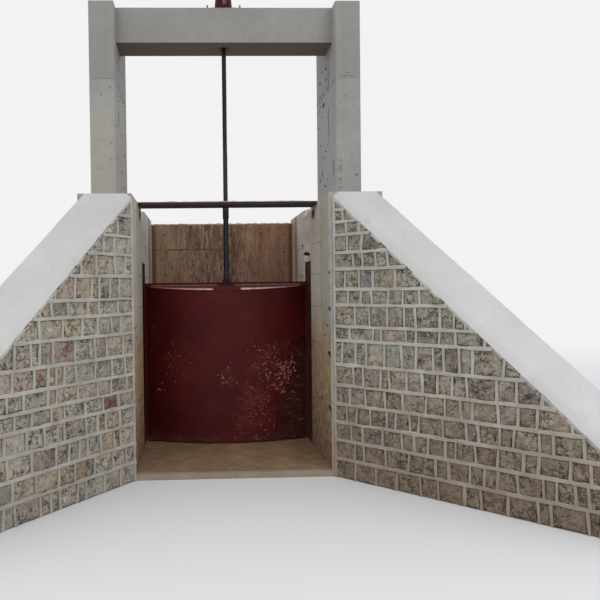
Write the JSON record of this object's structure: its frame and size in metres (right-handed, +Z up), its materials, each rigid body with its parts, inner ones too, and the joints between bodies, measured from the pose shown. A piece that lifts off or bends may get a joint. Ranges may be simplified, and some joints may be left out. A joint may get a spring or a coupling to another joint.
{
  "type": "cast iron sluice gate",
  "caption": "Arched cast iron sluice gate with screw hoist, in a small concrete headworks with splayed stone wing walls; the leaf slides up to let water through.",
  "frame": {"origin": "on the ground, on the channel's centreline, in the middle of the guide slots", "axes": "+X across the channel to the right as seen from its open front, +Y along the channel away from the open front, +Z up, the way the leaf lifts"},
  "size_m": [6.8749, 5.3003, 5.994],
  "materials": {
    "bronze": "machined bronze seal facing",
    "cement_coping": "trowelled pale cement",
    "concrete": "board-marked cast concrete, grey, mud-stained low down",
    "greased_steel": "dark greased steel",
    "grip_steel": "worn bare steel",
    "maroon_iron": "maroon oil paint over cast iron",
    "plank_primer": "dark red-brown primer",
    "stained_concrete": "cast concrete stained brown by muddy water",
    "stone_masonry": "coursed rubble blocks with raised light mortar joints"
  },
  "bodies": {
    "structure": {"breast_wall": "stained_concrete", "channel_floor": "concrete", "crank_arm": "maroon_iron", "crank_grip": "grip_steel", "frame_sill": "maroon_iron", "gearbox": "maroon_iron", "gearbox_cover": "maroon_iron", "hoist_pedestal": "maroon_iron", "hoist_plate": "maroon_iron", "input_shaft": "greased_steel", "left_abutment": "concrete", "left_column": "concrete", "left_guide": "maroon_iron", "left_guide_grout": "concrete", "left_guide_wedges": "maroon_iron", "left_wing_coping": "cement_coping", "left_wing_wall": "stone_masonry", "lift_nut": "bronze", "right_abutment": "concrete", "right_column": "concrete", "right_guide": "maroon_iron", "right_guide_grout": "concrete", "right_guide_wedges": "maroon_iron", "right_wing_coping": "cement_coping", "right_wing_wall": "stone_masonry", "top_beam": "concrete", "walkway_plank": "plank_primer"},
    "leaf": {"leaf_casting": "maroon_iron", "lifting_lug": "maroon_iron", "lug_pin": "greased_steel", "stem_lower": "greased_steel", "stem_sleeve": "greased_steel", "stem_upper": "greased_steel", "left_seal_facing": "bronze", "right_seal_facing": "bronze", "bottom_seal": "bronze", "left_leaf_wedges": "maroon_iron", "right_leaf_wedges": "maroon_iron"}
  },
  "joints": [
    {"name": "gate_lift", "type": "slide", "parent": "structure", "child": "leaf", "axis": [0, 0, 1], "range_m": [0, 1.85]}
  ]
}
